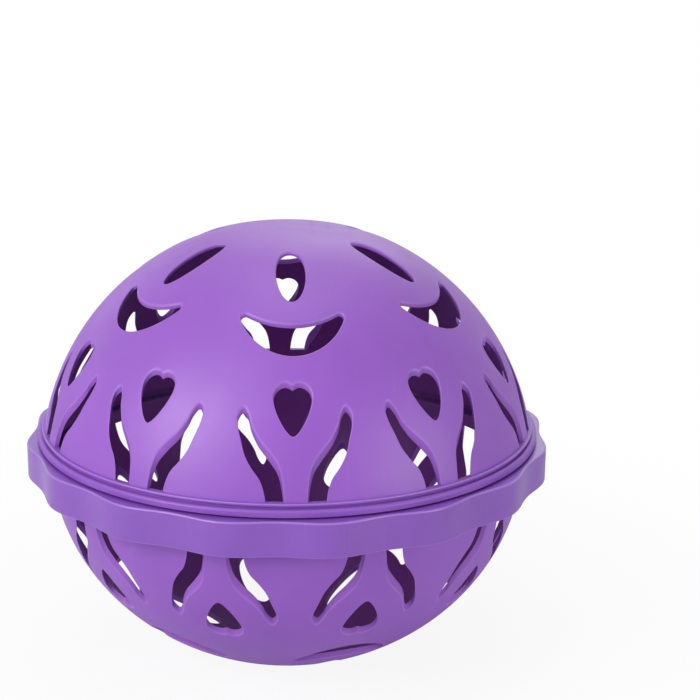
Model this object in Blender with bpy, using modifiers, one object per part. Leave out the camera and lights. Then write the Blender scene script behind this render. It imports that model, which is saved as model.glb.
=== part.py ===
"""Delicates wash ball: two pierced half shells that close with a twist lock at the rim.

Lengths are in metres, angles in degrees, and +Z points up. The ball stands on
its foot, whose centre is the origin. Azimuth 0 faces -Y and grows towards +X.
"""

import math

import bmesh
import bpy

# Domes: each outer surface is half of an ellipsoid of revolution
WALL = 0.0013
UPPER_RADIUS = 0.0850
UPPER_RISE = 0.0839
UPPER_CENTRE_BELOW_SEAM = 0.0129
LOWER_RADIUS_LESS = 0.0030
LOWER_RISE = 0.0739
LOWER_CENTRE_BELOW_SEAM = 0.0063
FOOT_RADIUS = 0.0150

# Rim of the upper shell, heights measured from the seam
UPPER_SILL = 0.0043
RIDGE_OUT = 0.0011
RIDGE_HEIGHT = 0.0010
RIDGE_CHAMFER = 0.0002
GROOVE_OUT = 0.0003
GROOVE_HEIGHT = 0.0007
BEAD_OUT = 0.0018
BEAD_SHOULDER = 0.00025
BEAD_ROUNDING = 0.0008
SPIGOT_IN = 0.0010
SPIGOT_DEPTH = 0.0070

# Grip collar of the lower shell
SEAT_GAP = 0.0003
COLLAR_HEIGHT = 0.0117
COLLAR_WALL = 0.0024
COLLAR_WAVE = 0.0024
COLLAR_LOBES = 16
COLLAR_POINTS_PER_LOBE = 6
COLLAR_VALLEY_AZIMUTH = -3.8
COLLAR_TOP_ROUNDING = 0.0010
COLLAR_FOOT_ROUNDING = 0.0004
COLLAR_FLOOR = 0.0018
LOWER_SILL_BELOW_COLLAR = 0.0025

# Twist lock between the spigot and the bore
LOCKS = 4
LOCK_TURN = 18.0
LUG_WIDTH = 12.0
LUG_REACH = 0.0014
LUG_HEIGHT = 0.0020
LEDGE_HEIGHT = 0.0018
RUNNING_GAP = 0.0003
ENTRY_CLEARANCE = 1.0
STOP_WIDTH = 1.5
STOP_HEIGHT = 0.0050
LOCK_AZIMUTH = 46.2

# Pattern: trees of a heart and two slots, with crescents and ovals above them.
# Each polar angle is measured on the upper dome, from its pole.
TREES = 10
CRESCENTS = 6
UPPER_PATTERN_AZIMUTH = 0.0
LOWER_PATTERN_AZIMUTH = 18.0

OVAL_POLAR_ANGLE = 24.3
OVAL_HALF_LENGTH = 0.0111
OVAL_HALF_WIDTH = 0.0047

CRESCENT_POLAR_ANGLE = 31.8
CRESCENT_BELLY_RADIUS = 0.0170
CRESCENT_BROW_BACK = 0.0142
CRESCENT_BROW_RADIUS = 0.0230
CRESCENT_HORN_RADIUS = 0.0013

HEART_POLAR_ANGLE = 56.2
HEART_LOBE_OFFSET = 0.00295
HEART_LOBE_RADIUS = 0.0030
HEART_SIDE_RADIUS = 0.0090
HEART_SIDE_START = 31.8
HEART_NOTCH_DEPTH = 0.0006

# Slot sides as (angle from the tree's axis, height above the sill), from the sill to the tip
SLOT_TRUNK_SIDE = (
    (2.5, 0.0000),
    (2.9, 0.0057),
    (3.8, 0.0115),
    (5.9, 0.0153),
    (8.5, 0.0190),
    (10.2, 0.0225),
)
SLOT_TIP = ((11.2, 0.0257), (12.5, 0.0272), (13.5, 0.0258))
SLOT_OUTER_SIDE = (
    (13.4, 0.0223),
    (12.5, 0.0185),
    (11.2, 0.0137),
    (9.6, 0.0101),
    (7.6, 0.0066),
    (6.5, 0.0000),
)
SLOT_OVERRUN = 0.0050

# Facets
ROUND_STEPS = 60
DOME_STEPS = 9
OVAL_STEPS = 12
BELLY_STEPS = 5
HORN_STEPS = 3
BROW_STEPS = 4
LOBE_STEPS = 4
HEART_SIDE_STEPS = 3
LOCK_STEPS = 2
CUTTER_OVERRUN = 0.0100
EDGE_ANGLE = 32.0

PURPLE_UPPER = (0.33, 0.13, 0.62, 1.0)
PURPLE_LOWER = (0.29, 0.11, 0.56, 1.0)
ROUGHNESS = 0.38

# Heights above the foot, and other places, that follow from the sizes above
LOWER_RADIUS = UPPER_RADIUS - LOWER_RADIUS_LESS
LOWER_CENTRE = LOWER_RISE * math.sqrt(1.0 - (FOOT_RADIUS / LOWER_RADIUS) ** 2)
SEAM = LOWER_CENTRE + LOWER_CENTRE_BELOW_SEAM
UPPER_CENTRE = SEAM - UPPER_CENTRE_BELOW_SEAM
COLLAR_TOP = SEAM - SEAT_GAP
COLLAR_FOOT = COLLAR_TOP - COLLAR_HEIGHT
LOWER_SILL = COLLAR_FOOT - LOWER_SILL_BELOW_COLLAR
LEDGE_FOOT = COLLAR_TOP - LEDGE_HEIGHT
LUG_TOP = LEDGE_FOOT - RUNNING_GAP
OVAL_CENTRE = UPPER_RADIUS * math.sin(math.radians(OVAL_POLAR_ANGLE))
CRESCENT_BELLY_CENTRE = UPPER_RADIUS * math.sin(math.radians(CRESCENT_POLAR_ANGLE))
CRESCENT_BROW_CENTRE = CRESCENT_BELLY_CENTRE - CRESCENT_BROW_BACK
HEART_LOBE_CENTRE = UPPER_RADIUS * math.sin(math.radians(HEART_POLAR_ANGLE))


class Dome:
    """Outer half ellipsoid of one shell, with its pole above or below its centre."""

    def __init__(self, radius, rise, centre, upward):
        self.radius = radius
        self.rise = rise
        self.centre = centre
        self.upward = upward

    def radius_at(self, height):
        return self.radius * math.sqrt(1.0 - ((height - self.centre) / self.rise) ** 2)

    def inner(self):
        return Dome(self.radius - WALL, self.rise - WALL, self.centre, self.upward)

    def arc(self, start_radius, end_radius):
        """Profile points between two radii, evenly spread over the polar angle."""
        start = math.asin(start_radius / self.radius)
        end = math.asin(end_radius / self.radius)
        points = []
        for step in range(DOME_STEPS + 1):
            angle = start + (end - start) * step / DOME_STEPS
            height = self.centre + self.upward * self.rise * math.cos(angle)
            points.append((self.radius * math.sin(angle), height))
        return points


UPPER_DOME = Dome(UPPER_RADIUS, UPPER_RISE, UPPER_CENTRE, 1.0)
LOWER_DOME = Dome(LOWER_RADIUS, LOWER_RISE, LOWER_CENTRE, -1.0)

# Radii of the rims, from the spigot outwards
SPIGOT_RADIUS = UPPER_DOME.radius_at(SEAM) - SPIGOT_IN
BEAD_RADIUS = UPPER_DOME.radius_at(SEAM) + BEAD_OUT
LEDGE_RADIUS = SPIGOT_RADIUS + RUNNING_GAP
LUG_RADIUS = SPIGOT_RADIUS + LUG_REACH
ENTRY_RADIUS = LUG_RADIUS + RUNNING_GAP
BORE_RADIUS = ENTRY_RADIUS + RUNNING_GAP
COLLAR_VALLEY_RADIUS = BORE_RADIUS + COLLAR_WALL
COLLAR_PEAK_RADIUS = COLLAR_VALLEY_RADIUS + COLLAR_WAVE


def clear_scene():
    for obj in list(bpy.data.objects):
        bpy.data.objects.remove(obj, do_unlink=True)


def new_collection(name):
    collection = bpy.data.collections.new(name)
    bpy.context.scene.collection.children.link(collection)
    return collection


def plastic(name, colour):
    material = bpy.data.materials.new(name)
    material.use_nodes = True
    shader = material.node_tree.nodes["Principled BSDF"]
    shader.inputs["Base Color"].default_value = colour
    shader.inputs["Roughness"].default_value = ROUGHNESS
    shader.inputs["Metallic"].default_value = 0.0
    material.diffuse_color = colour
    return material


def hide_cutter(obj):
    obj.hide_render = True
    obj.display_type = "WIRE"


def arc(centre, radius, start, end, steps):
    """Points on a circle in the plan, angles in degrees, both ends included."""
    points = []
    for step in range(steps + 1):
        angle = math.radians(start + (end - start) * step / steps)
        points.append((centre[0] + radius * math.cos(angle), centre[1] + radius * math.sin(angle)))
    return points


def mirrored(half):
    """Closed outline from its right half, which starts and ends on the middle line."""
    return half + [(-x, y) for x, y in reversed(half[1:-1])]


def on_azimuth(outline, azimuth):
    """An outline drawn as (sideways, outward) and turned to face the azimuth."""
    angle = math.radians(azimuth)
    return [
        (x * math.cos(angle) + y * math.sin(angle), x * math.sin(angle) - y * math.cos(angle))
        for x, y in outline
    ]


def oval_outline():
    points = []
    for step in range(OVAL_STEPS):
        angle = math.tau * step / OVAL_STEPS
        along = OVAL_CENTRE - OVAL_HALF_LENGTH * math.cos(angle)
        points.append((OVAL_HALF_WIDTH * math.sin(angle), along))
    return points


def crescent_outline():
    """Belly arc, a round horn that touches both arcs, and the shallower brow arc."""
    to_belly = CRESCENT_BELLY_RADIUS - CRESCENT_HORN_RADIUS
    to_brow = CRESCENT_BROW_RADIUS + CRESCENT_HORN_RADIUS
    spacing = CRESCENT_BELLY_CENTRE - CRESCENT_BROW_CENTRE
    rise = (to_brow**2 - to_belly**2 - spacing**2) / (2.0 * spacing)
    horn = (math.sqrt(to_belly**2 - rise**2), CRESCENT_BELLY_CENTRE + rise)
    belly_end = math.degrees(math.atan2(rise, horn[0]))
    brow_end = math.degrees(math.atan2(horn[1] - CRESCENT_BROW_CENTRE, horn[0]))
    half = arc((0.0, CRESCENT_BELLY_CENTRE), CRESCENT_BELLY_RADIUS, 90.0, belly_end, BELLY_STEPS)
    half += arc(horn, CRESCENT_HORN_RADIUS, belly_end, brow_end - 180.0, HORN_STEPS)[1:]
    half += arc((0.0, CRESCENT_BROW_CENTRE), CRESCENT_BROW_RADIUS, brow_end, 90.0, BROW_STEPS)[1:]
    return mirrored(half)


def heart_outline():
    """A lobe arc and a flatter side arc that touches it, with a shallow notch towards the pole."""
    lobe = (HEART_LOBE_OFFSET, HEART_LOBE_CENTRE)
    between = HEART_SIDE_RADIUS - HEART_LOBE_RADIUS
    start = math.radians(HEART_SIDE_START)
    side = (lobe[0] - between * math.cos(start), lobe[1] - between * math.sin(start))
    tip = math.degrees(math.acos(-side[0] / HEART_SIDE_RADIUS))
    top = HEART_LOBE_CENTRE - HEART_LOBE_RADIUS
    half = [(0.0, top + HEART_NOTCH_DEPTH)]
    half.append((HEART_LOBE_OFFSET / 2.0, top + HEART_NOTCH_DEPTH / 2.0))
    half += arc(lobe, HEART_LOBE_RADIUS, -90.0, HEART_SIDE_START, LOBE_STEPS)
    half += arc(side, HEART_SIDE_RADIUS, HEART_SIDE_START, tip, HEART_SIDE_STEPS)[1:]
    half[-1] = (0.0, half[-1][1])
    return mirrored(half)


def slot_outline(dome, sill, side):
    """Plan outline of a slot, from its shape on the dome. It runs past the dome at the sill."""
    rows = SLOT_TRUNK_SIDE + SLOT_TIP + SLOT_OUTER_SIDE
    points = []
    for angle, height in rows:
        radius = dome.radius_at(sill + height * dome.upward)
        points.append((radius, angle))
    outside = dome.radius + SLOT_OVERRUN
    points.append((outside, SLOT_OUTER_SIDE[-1][0]))
    points.append((outside, SLOT_TRUNK_SIDE[0][0]))
    return [
        (side * radius * math.sin(math.radians(angle)), radius * math.cos(math.radians(angle)))
        for radius, angle in points
    ]


def sector_outline(inner, outer, middle, width, steps):
    """Piece of a ring in the plan, drawn round the azimuth."""
    outline = []
    for radius, order in ((inner, 1), (outer, -1)):
        for step in range(steps + 1)[::order]:
            angle = math.radians(middle - width / 2.0 + width * step / steps)
            outline.append((radius * math.sin(angle), -radius * math.cos(angle)))
    return outline


def prisms(name, outlines, bottom, top, collection):
    """One mesh of upright prisms, each a flat filled outline given thickness."""
    curve = bpy.data.curves.new(name, "CURVE")
    curve.dimensions = "2D"
    curve.fill_mode = "BOTH"
    curve.extrude = (top - bottom) / 2.0
    for outline in outlines:
        spline = curve.splines.new("POLY")
        spline.points.add(len(outline) - 1)
        for point, (x, y) in zip(spline.points, outline):
            point.co = (x, y, 0.0, 1.0)
        spline.use_cyclic_u = True
    drawn = bpy.data.objects.new(name + "_curve", curve)
    drawn.location.z = (top + bottom) / 2.0
    collection.objects.link(drawn)
    bpy.context.view_layer.update()
    graph = bpy.context.evaluated_depsgraph_get()
    mesh = bpy.data.meshes.new_from_object(drawn.evaluated_get(graph))
    solid = bpy.data.objects.new(name, mesh)
    solid.matrix_world = drawn.matrix_world
    collection.objects.link(solid)
    bpy.data.objects.remove(drawn, do_unlink=True)
    form = bmesh.new()
    form.from_mesh(mesh)
    bmesh.ops.remove_doubles(form, verts=form.verts, dist=1e-6)
    bmesh.ops.dissolve_limit(form, angle_limit=1e-4, verts=form.verts, edges=form.edges)
    bmesh.ops.recalc_face_normals(form, faces=form.faces)
    form.to_mesh(mesh)
    form.free()
    return solid


def turned(name, profile, collection):
    """A profile of (radius, height) points, top to bottom down its outer side, spun about Z."""
    mesh = bpy.data.meshes.new(name)
    # Half a facet off the axes, so that no opening has a corner on a facet's edge
    angle = math.pi / ROUND_STEPS
    points = [(radius * math.cos(angle), radius * math.sin(angle), height) for radius, height in profile]
    edges = [(i, i + 1) for i in range(len(points) - 1)]
    mesh.from_pydata(points, edges, [])
    obj = bpy.data.objects.new(name, mesh)
    collection.objects.link(obj)
    screw = obj.modifiers.new("Turn", "SCREW")
    screw.steps = ROUND_STEPS
    screw.render_steps = ROUND_STEPS
    screw.use_merge_vertices = True
    screw.merge_threshold = 1e-5
    screw.use_smooth_shade = True
    return obj


def boolean(obj, other, operation):
    modifier = obj.modifiers.new(other.name, "BOOLEAN")
    modifier.operation = operation
    modifier.solver = "EXACT"
    modifier.object = other
    hide_cutter(other)


def finish(obj, material):
    obj.data.materials.clear()
    obj.data.materials.append(material)
    obj.data.shade_smooth()
    obj.data.set_sharp_from_angle(angle=math.radians(EDGE_ANGLE))


def pattern_outlines(dome, sill, azimuth):
    outlines = []
    for tree in range(TREES):
        facing = azimuth + tree * 360.0 / TREES
        outlines.append(on_azimuth(heart_outline(), facing))
        for side in (-1.0, 1.0):
            outlines.append(on_azimuth(slot_outline(dome, sill, side), facing))
    for place in range(CRESCENTS):
        facing = azimuth + place * 360.0 / CRESCENTS
        outlines.append(on_azimuth(crescent_outline(), facing))
        outlines.append(on_azimuth(oval_outline(), facing))
    return outlines


def lock_azimuths():
    return [LOCK_AZIMUTH + lock * 360.0 / LOCKS for lock in range(LOCKS)]


def upper_profile():
    """Dome, thin ridge, groove, round bead, then the spigot and the inside of the dome."""
    sill = SEAM + UPPER_SILL
    ridge_foot = sill - RIDGE_HEIGHT
    groove_foot = ridge_foot - GROOVE_HEIGHT
    sill_radius = UPPER_DOME.radius_at(sill)
    groove_radius = UPPER_DOME.radius_at(ridge_foot) + GROOVE_OUT
    inner = UPPER_DOME.inner()
    spigot_inner = SPIGOT_RADIUS - WALL
    profile = UPPER_DOME.arc(0.0, sill_radius)
    profile += [
        (sill_radius + RIDGE_OUT, sill - RIDGE_CHAMFER),
        (sill_radius + RIDGE_OUT, ridge_foot + RIDGE_CHAMFER),
        (groove_radius, ridge_foot),
        (groove_radius, groove_foot),
        (BEAD_RADIUS - BEAD_SHOULDER, groove_foot - BEAD_SHOULDER),
        (BEAD_RADIUS, groove_foot - BEAD_ROUNDING),
        (BEAD_RADIUS, SEAM),
        (SPIGOT_RADIUS, SEAM),
        (SPIGOT_RADIUS, SEAM - SPIGOT_DEPTH),
        (spigot_inner, SEAM - SPIGOT_DEPTH),
        (spigot_inner, SEAM),
    ]
    profile += inner.arc(inner.radius_at(sill), 0.0)
    return profile


def build_upper_shell(parts, cutters, material):
    shell = turned("upper_shell", upper_profile(), parts)
    lugs = [
        sector_outline(SPIGOT_RADIUS - WALL / 2.0, LUG_RADIUS, middle, LUG_WIDTH, LOCK_STEPS)
        for middle in lock_azimuths()
    ]
    boolean(shell, prisms("lugs", lugs, LUG_TOP - LUG_HEIGHT, LUG_TOP, cutters), "UNION")
    sill = SEAM + UPPER_SILL
    outlines = pattern_outlines(UPPER_DOME, sill, UPPER_PATTERN_AZIMUTH)
    top = UPPER_CENTRE + UPPER_RISE + CUTTER_OVERRUN
    boolean(shell, prisms("upper_openings", outlines, sill, top, cutters), "DIFFERENCE")
    finish(shell, material)
    return shell


def collar_outline():
    """Scalloped outline of the grip, one wave for each lobe."""
    count = COLLAR_LOBES * COLLAR_POINTS_PER_LOBE
    middle = (COLLAR_PEAK_RADIUS + COLLAR_VALLEY_RADIUS) / 2.0
    swing = (COLLAR_PEAK_RADIUS - COLLAR_VALLEY_RADIUS) / 2.0
    outline = []
    for step in range(count):
        turn = math.tau * step / count
        radius = middle - swing * math.cos(COLLAR_LOBES * turn)
        angle = turn + math.radians(COLLAR_VALLEY_AZIMUTH)
        outline.append((radius * math.sin(angle), -radius * math.cos(angle)))
    return outline


def round_rim(obj, height, offset, segments):
    """Rounds the edges that lie all round the object at one height."""
    form = bmesh.new()
    form.from_mesh(obj.data)
    local = height - obj.matrix_world.translation.z
    rim = [
        edge
        for edge in form.edges
        if all(abs(vert.co.z - local) < 1e-6 for vert in edge.verts)
        and any(abs(face.normal.z) < 0.5 for face in edge.link_faces)
    ]
    bmesh.ops.bevel(form, geom=rim, offset=offset, segments=segments, profile=0.5, affect="EDGES")
    form.to_mesh(obj.data)
    form.free()


def cavity_profile():
    """Room inside the lower shell: past the lock ledge, the bore, its floor and the dome."""
    inner = LOWER_DOME.inner()
    floor = COLLAR_FOOT + COLLAR_FLOOR
    foot_inner = inner.radius * math.sqrt(1.0 - ((LOWER_CENTRE - WALL) / inner.rise) ** 2)
    profile = [
        (0.0, COLLAR_TOP + CUTTER_OVERRUN),
        (LEDGE_RADIUS, COLLAR_TOP + CUTTER_OVERRUN),
        (LEDGE_RADIUS, LEDGE_FOOT),
        (BORE_RADIUS, LEDGE_FOOT),
        (BORE_RADIUS, floor),
    ]
    profile += inner.arc(inner.radius_at(floor), foot_inner)
    profile.append((0.0, WALL))
    return profile


def build_lower_shell(parts, cutters, material):
    profile = [(0.0, COLLAR_TOP - COLLAR_FLOOR)]
    profile += LOWER_DOME.arc(LOWER_DOME.radius_at(COLLAR_TOP - COLLAR_FLOOR), FOOT_RADIUS)
    profile.append((0.0, 0.0))
    shell = turned("lower_shell", profile, parts)
    collar = prisms("collar", [collar_outline()], COLLAR_FOOT, COLLAR_TOP, cutters)
    round_rim(collar, COLLAR_TOP, COLLAR_TOP_ROUNDING, 2)
    round_rim(collar, COLLAR_FOOT, COLLAR_FOOT_ROUNDING, 1)
    boolean(shell, collar, "UNION")
    boolean(shell, turned("cavity", cavity_profile(), cutters), "DIFFERENCE")
    entries = []
    stops = []
    width = LUG_WIDTH + 2.0 * ENTRY_CLEARANCE
    for middle in lock_azimuths():
        entries.append(sector_outline(LEDGE_RADIUS - WALL, ENTRY_RADIUS, middle, width, LOCK_STEPS))
        stop = middle - LUG_WIDTH / 2.0 - LOCK_TURN - STOP_WIDTH / 2.0
        stops.append(sector_outline(LEDGE_RADIUS + RUNNING_GAP, BORE_RADIUS + WALL, stop, STOP_WIDTH, 1))
    entry = prisms("entries", entries, LEDGE_FOOT - RUNNING_GAP, COLLAR_TOP + CUTTER_OVERRUN, cutters)
    boolean(shell, entry, "DIFFERENCE")
    stop_top = LEDGE_FOOT + LEDGE_HEIGHT / 2.0
    boolean(shell, prisms("stops", stops, LEDGE_FOOT - STOP_HEIGHT, stop_top, cutters), "UNION")
    outlines = pattern_outlines(LOWER_DOME, LOWER_SILL, LOWER_PATTERN_AZIMUTH)
    boolean(shell, prisms("lower_openings", outlines, -CUTTER_OVERRUN, LOWER_SILL, cutters), "DIFFERENCE")
    finish(shell, material)
    return shell


def main():
    clear_scene()
    parts = new_collection("delicates_wash_ball")
    cutters = new_collection("cutters")
    build_lower_shell(parts, cutters, plastic("purple_lower", PURPLE_LOWER))
    build_upper_shell(parts, cutters, plastic("purple_upper", PURPLE_UPPER))


main()
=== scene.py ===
import math

import bmesh
import bpy
import numpy as np
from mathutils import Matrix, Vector
from mathutils.geometry import delaunay_2d_cdt
from mathutils.kdtree import KDTree


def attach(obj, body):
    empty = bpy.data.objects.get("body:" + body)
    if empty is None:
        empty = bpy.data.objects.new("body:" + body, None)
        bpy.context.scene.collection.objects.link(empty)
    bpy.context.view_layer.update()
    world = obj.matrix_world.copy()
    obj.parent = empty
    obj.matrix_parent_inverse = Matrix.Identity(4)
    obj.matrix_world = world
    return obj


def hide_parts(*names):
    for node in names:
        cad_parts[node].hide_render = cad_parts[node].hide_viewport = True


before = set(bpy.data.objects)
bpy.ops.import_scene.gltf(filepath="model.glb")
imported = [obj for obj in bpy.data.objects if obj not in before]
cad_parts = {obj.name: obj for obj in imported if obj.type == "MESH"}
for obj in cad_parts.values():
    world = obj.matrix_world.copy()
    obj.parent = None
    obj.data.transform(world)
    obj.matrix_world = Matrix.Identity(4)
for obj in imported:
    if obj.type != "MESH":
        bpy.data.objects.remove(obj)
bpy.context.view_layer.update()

# Lengths are in millimetres until a mesh is made. Heights in the geometry are measured from the seam,
# radii and azimuths from the axis. An azimuth of 0 faces -Y, and azimuths are in degrees.
MM = 0.001

# The two shells. up is the side of the seam on which the pole lies. cap is the height of a shallow cap
# at the pole and its radius of curvature. turn is the azimuth of the pattern. The wall is given at the rim
# and at the pole, and fillet rounds the outer edges of the crescents and ovals.
UPPER = {
    "radius": 85.0,
    "rise": 85.3,
    "centre": -12.9,
    "up": 1.0,
    "cap": (71.0, 140.0),
    "sill": 4.3,
    "turn": 0.0,
    "wall": 1.3,
    "pole_wall": 1.3,
    "fillet": 0.65,
    "heart_shift": 0.35,
    "crescent_shift": 0.5,
}
LOWER = {
    "radius": 82.0,
    "rise": 74.6,
    "centre": -6.3,
    "up": -1.0,
    "cap": None,
    "sill": -14.5,
    "turn": 18.0,
    "wall": 1.2,
    "pole_wall": 2.1,
    "fillet": 0.4,
    "heart_shift": -0.1,
    "crescent_shift": 0.0,
}
CAP_BLEND = 1.2
CAP_ZONE = 0.6

# The solid's lower dome and flat foot, which set the height of the seam
SOLID_RISE = 73.9
FOOT_RADIUS = 15.0
SEAM_ABOVE_FOOT = -LOWER["centre"] + SOLID_RISE * math.sqrt(1.0 - (FOOT_RADIUS / LOWER["radius"]) ** 2)
FOOT_EDGE = 0.3

# Pattern. The centres are distances from the axis.
TREES = 10
CRESCENTS = 6
HEART_LEAN = -0.5
OVAL_CENTRE = 35.5
OVAL_HALF_LENGTH = 11.35
OVAL_HALF_WIDTH = 4.7
OVAL_STEPS = 240
BELLY_CENTRE = 44.8
BELLY_RADIUS = 17.0
BELLY_STEPS = 60
BROW_CENTRE = 30.6
BROW_RADIUS = 23.0
BROW_STEPS = 50
HORN_RADIUS = 1.3
HORN_STEPS = 16

# Half a heart as (sideways, outward) from its notch to its tip
HEART = (
    (0.0, 68.25),
    (0.55, 67.95),
    (1.3, 67.66),
    (2.5, 67.56),
    (4.27, 67.95),
    (5.45, 68.8),
    (5.95, 70.1),
    (5.6, 71.6),
    (5.0, 72.75),
    (4.2, 73.75),
    (3.2, 74.75),
    (2.0, 75.65),
    (0.8, 76.25),
    (0.0, 76.4),
)

# Slot sides as (angle from the tree's axis in degrees, height above the sill in millimetres)
SLOT = (
    (2.5, -1.6),
    (2.5, 0.0),
    (2.65, 3.7),
    (3.1, 8.2),
    (4.0, 12.0),
    (6.0, 15.4),
    (8.4, 18.8),
    (10.2, 22.5),
    (11.1, 25.4),
    (12.4, 27.3),
    (13.55, 25.4),
    (13.4, 22.3),
    (12.4, 18.2),
    (11.2, 13.7),
    (9.5, 10.0),
    (7.9, 7.2),
    (7.0, 4.2),
    (6.5, 0.7),
    (6.45, -1.6),
)

# Spacing of the domes' points. The free points keep a share of the spacing from the openings and rings, and
# only those past the rim zone's angle can lie in a slot.
OUTLINE_STEP = 0.42
FINE_STEP = 0.1
GRID_STEP = 2.3
FLOOR_DENSITY = 1.4
FOOT_RING_STEPS = 120
CLEAR_OF_EDGES = 0.45
RIM_ZONE = 0.9
POINTS_AT_ONCE = 2000

# Roundings of the openings: in the plan, and of their edges, which shrink in tight bends and on steep flanks
CORNER_SMOOTHING = 0.3
TREE_FILLET = 0.65
INNER_FILLET = 0.3
OUTER_SEGMENTS = 4
INNER_SEGMENTS = 2
WIDEST_ROOM = 1.0
ROOM_IN_BEND = 0.6
NEAR_EQUATOR = 0.9995
STEEPEST = 6.0

# How much lighter colour (worn wear, and partly a painted highlight) and how much painted shade an opening's edge
# gets, at these shares of its rounding from the surface to the wall
EDGE_STEPS = (0.0, 0.25, 0.5, 0.75, 1.0)
OUTER_EDGE = ((0.0, 0.25, 0.35, 0.5, 0.0), (0.0, 0.0, 0.0, 0.0, 0.0))
INNER_EDGE = ((0.0, 0.5, 1.0, 0.5, 0.0), (1.0, 0.6, 0.0, 0.15, 0.25))

# Upper rim: ridge, groove, bead and spigot. The domes end inside the rims, a hair within their faces.
SILL_OVERLAP = 0.5
STEP_AT_JOIN = 0.04
RIDGE_RADIUS = 84.33
RIDGE_FOOT = 3.3
GROOVE_RADIUS = 83.6
BEAD_RADIUS = 85.8
BEAD_TOP = 2.6
BEAD_FOOT = 0.22
SPIGOT_RADIUS = 83.0
SPIGOT_DEPTH = 7.0
SPIGOT_WALL = 1.3
RIM_STEPS = 360

# Grip collar and its bore
COLLAR_TOP = -0.3
COLLAR_FOOT = -12.0
COLLAR_FLOOR = -10.2
COLLAR_MEAN = 88.48
COLLAR_SWING = 1.12
COLLAR_LOBES = 16
COLLAR_STEPS_PER_LOBE = 28
COLLAR_VALLEY_AZIMUTH = -3.8
BORE_RADIUS = 85.0
LEDGE_RADIUS = 83.3
LEDGE_FOOT = -2.1

# Twist lock
LOCKS = 4
LOCK_AZIMUTH = 46.2
LOCK_TURN = 18.0
ENTRY_RADIUS = 84.7
ENTRY_WIDTH = 14.0
ENTRY_CORNERS = (-0.12, -0.03, 0.03, 0.12)
CLEAR_OF_CORNERS = 0.3
LUG_RADIUS = 84.4
LUG_ROOT = 0.6
LUG_WIDTH = 12.0
LUG_TOP = -2.4
LUG_FOOT = -4.4
LUG_BEVEL = 0.3
STOP_WIDTH = 1.5
STOP_INNER = 83.6
STOP_OUTER = 85.5
STOP_TOP = -1.2
STOP_FOOT = -7.1
STOP_BEVEL = 0.2

# Roundings of the rims' profiles: which count as sharp, which get a lighter colour (worn wear, and partly a
# painted highlight) and how much, and the angle of one facet
SHARP = 0.06
WEARS_OVER = 0.1
WEARS_UNDER = 0.9
WORN_AND_HIGHLIT_CORNER = 0.7
FACET = math.radians(14.0)

# How fast a rim's faces get painted shade, darker like the ball's inside, as they turn to the axis, and as they
# turn downwards
PAINTED_SHADE_TO_AXIS = 1.5
PAINTED_SHADE_DOWNWARDS = 2.0

# Share of the lighter edge colour at worn edges (partly a painted highlight) and in scuffs, and the roughness
# that scuffs add
EDGE_WEAR_AND_HIGHLIGHT = 0.5
SCUFF_PALENESS = 0.07
SCUFF_ROUGHNESS = 0.12


class Dome:
    """One surface of a shell: half an ellipsoid, which may end in a shallower cap or in a flat at its pole.

    A cap is (height at the pole, radius of curvature). It runs into the ellipsoid over CAP_BLEND, and lies
    within CAP_ZONE, a share of the radius.
    """

    def __init__(self, radius, rise, centre, up, cap=None, flat=None):
        self.radius = radius
        self.rise = rise
        self.centre = centre
        self.up = up
        self.cap = cap
        self.flat = flat

    def ellipsoid(self, r):
        return self.centre + self.up * self.rise * np.sqrt(np.clip(1.0 - (r / self.radius) ** 2, 0.0, None))

    def cap_share(self, r):
        """The cap's height at a radius, and how far the ellipsoid is followed there instead."""
        cap = self.cap[0] - r**2 / (2.0 * self.cap[1])
        return cap, np.clip(0.5 + 0.5 * (cap - self.ellipsoid(r)) / CAP_BLEND, 0.0, 1.0)

    def height(self, r):
        z = self.ellipsoid(r)
        if self.cap is not None:
            cap, share = self.cap_share(r)
            z = cap + (z - cap) * share - CAP_BLEND * share * (1.0 - share)
        return z if self.flat is None else np.maximum(z, self.flat)

    def radius_at(self, z):
        return self.radius * np.sqrt(1.0 - ((z - self.centre) / self.rise) ** 2)

    def slope(self, r):
        root = np.sqrt(np.clip(1.0 - (r / self.radius) ** 2, 1e-6, None))
        slope = -self.up * self.rise * r / self.radius**2 / root
        if self.cap is not None:
            share = self.cap_share(r)[1]
            slope = slope * share - (1.0 - share) * r / self.cap[1]
        return slope

    def normal(self, plan):
        r = np.hypot(plan[:, 0], plan[:, 1])
        z = self.ellipsoid(r)
        n = np.column_stack([plan / self.radius**2, (z - self.centre) / self.rise**2])
        if self.cap is not None:
            near = r < CAP_ZONE * self.radius
            away = plan[near] / np.maximum(r[near], 1e-9)[:, None]
            n[near] = np.column_stack([-self.slope(r[near])[:, None] * away, np.ones(near.sum())])
        if self.flat is not None:
            n[z < self.flat - 1e-9] = (0.0, 0.0, self.up)
        return n / np.linalg.norm(n, axis=1)[:, None]

    def chart(self, plan):
        """Plan points moved out to the angle that the ellipsoid spans there, so that steep flanks unfold."""
        r = np.hypot(plan[:, 0], plan[:, 1])
        angle = np.arcsin(np.clip(r / self.radius, 0.0, 1.0))
        return plan * (angle / np.maximum(r, 1e-9))[:, None]

    def unchart(self, points):
        """Plan points of chart points."""
        angle = np.hypot(points[:, 0], points[:, 1])
        r = self.radius * np.sin(angle)
        return points * (r / np.maximum(angle, 1e-9))[:, None]


def arc(centre, radius, start, end, steps):
    angles = np.radians(np.linspace(start, end, steps + 1))
    return np.column_stack([centre[0] + radius * np.cos(angles), centre[1] + radius * np.sin(angles)])


def wrapped(degrees):
    return (degrees + 180.0) % 360.0 - 180.0


def mirrored(half):
    return np.vstack([half, half[-2:0:-1] * (-1.0, 1.0)])


def oval_outline():
    angles = np.linspace(0.0, math.tau, OVAL_STEPS + 1)[:-1]
    return np.column_stack([OVAL_HALF_WIDTH * np.sin(angles), OVAL_CENTRE - OVAL_HALF_LENGTH * np.cos(angles)])


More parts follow.
